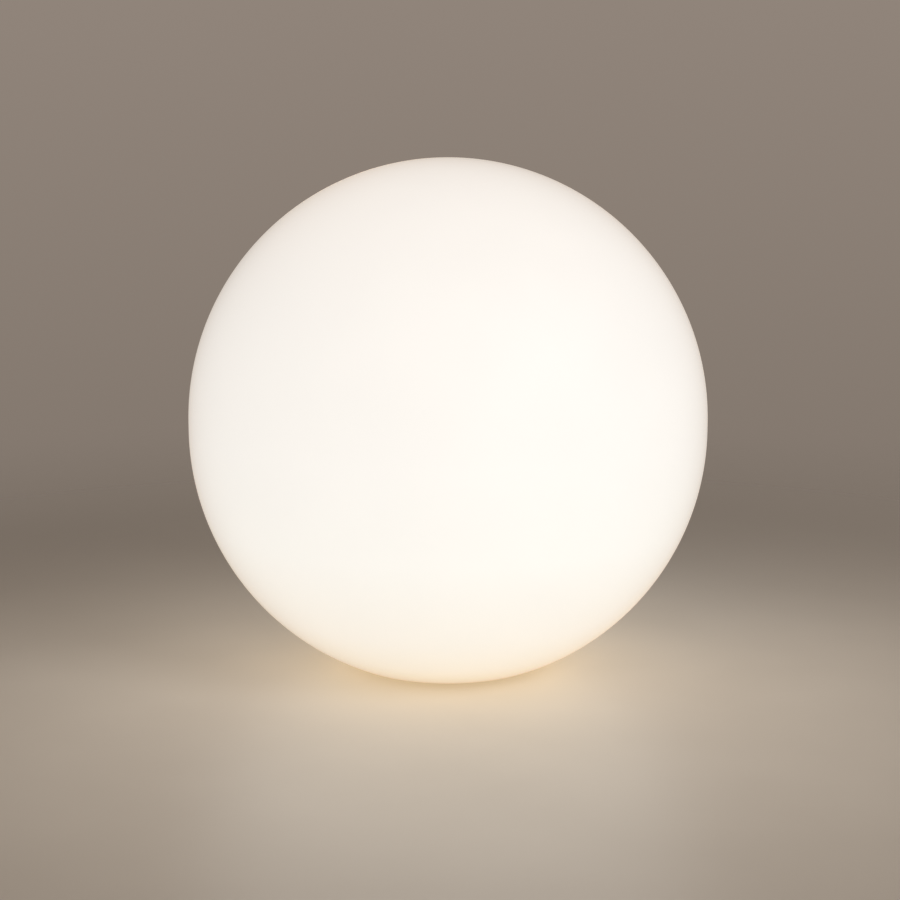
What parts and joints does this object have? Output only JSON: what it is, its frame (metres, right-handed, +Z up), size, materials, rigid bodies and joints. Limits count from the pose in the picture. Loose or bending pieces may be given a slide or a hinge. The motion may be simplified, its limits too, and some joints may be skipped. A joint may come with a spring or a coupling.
{
  "type": "garden globe light",
  "caption": "Opal ball light for the garden, lit from a round rechargeable module that locks into its flat underside by a part turn.",
  "frame": {"origin": "centre of the circle of feet, on the ground", "axes": "+Z up along the ball's axis; +X along the grip bar towards the charge port; the picture looks along +Y"},
  "size_m": [0.4, 0.4, 0.3951],
  "materials": {
    "opal_polyethylene": "satin",
    "white_abs": "fine moulded grain",
    "grey_abs": "fine moulded grain",
    "opal_polycarbonate": "frosted",
    "clear_polycarbonate": "polished",
    "black_rubber": "matt",
    "grey_silicone": "matt",
    "stainless_steel": "turned",
    "anodised_aluminium": "fine turned",
    "green_laminate": "solder mask",
    "white_laminate": "solder mask",
    "moulded_epoxy": "moulded",
    "phosphor_gel": "cast",
    "nickel_strip": "rolled",
    "pvc_sleeve": "shrunk"
  },
  "bodies": {
    "light_module": {"module_housing": "white_abs", "base_cover": "white_abs", "base_gasket": "black_rubber", "base_screws": "stainless_steel", "rubber_feet": "black_rubber", "switch_body": "moulded_epoxy", "status_lens": "clear_polycarbonate", "port_cover_anchor": "grey_silicone", "charge_socket": "stainless_steel", "vent_plug": "grey_abs", "control_board": "green_laminate", "board_parts": "moulded_epoxy", "board_screws": "stainless_steel", "battery_tray": "grey_abs", "battery_cells": "pvc_sleeve", "cell_links": "nickel_strip", "battery_strap": "stainless_steel", "tray_screws": "stainless_steel", "battery_lead": "black_rubber", "heat_sink_plate": "anodised_aluminium", "led_board": "white_laminate", "led_board_screws": "stainless_steel", "led_chips": "phosphor_gel", "led_connector": "white_abs", "led_lead": "black_rubber", "lead_grommet": "black_rubber", "lens_dome": "opal_polycarbonate", "dome_gasket": "black_rubber", "dome_screws": "stainless_steel"},
    "seal_ring": {"seal_ring": "black_rubber"},
    "globe": {"globe_shell": "opal_polyethylene", "bayonet_collar": "white_abs", "collar_gasket": "black_rubber", "collar_clamp_ring": "white_abs", "collar_screws": "stainless_steel"},
    "power_button": {"power_button": "grey_silicone", "switch_plunger": "grey_abs"},
    "port_cover": {"charge_port_cover": "grey_silicone"}
  },
  "joints": [
    {"name": "globe_twist", "type": "hinge", "parent": "light_module", "child": "seal_ring", "pos_m": [0, 0, 0], "axis": [0, 0, 1], "range_deg": [0, 45]},
    {"name": "globe_lift", "type": "slide", "parent": "seal_ring", "child": "globe", "axis": [0, 0, 1], "range_m": [0, 0.10415]},
    {"name": "power_button_press", "type": "slide", "parent": "light_module", "child": "power_button", "axis": [0, 0, 1], "range_m": [0, 0.0008], "stiffness_N_per_m": 2500, "springref_m": -0.0004},
    {"name": "port_cover_swing", "type": "hinge", "parent": "light_module", "child": "port_cover", "pos_m": [0.02246, 0, 0.0038], "axis": [0, -1, 0], "range_deg": [0, 100]}
  ]
}
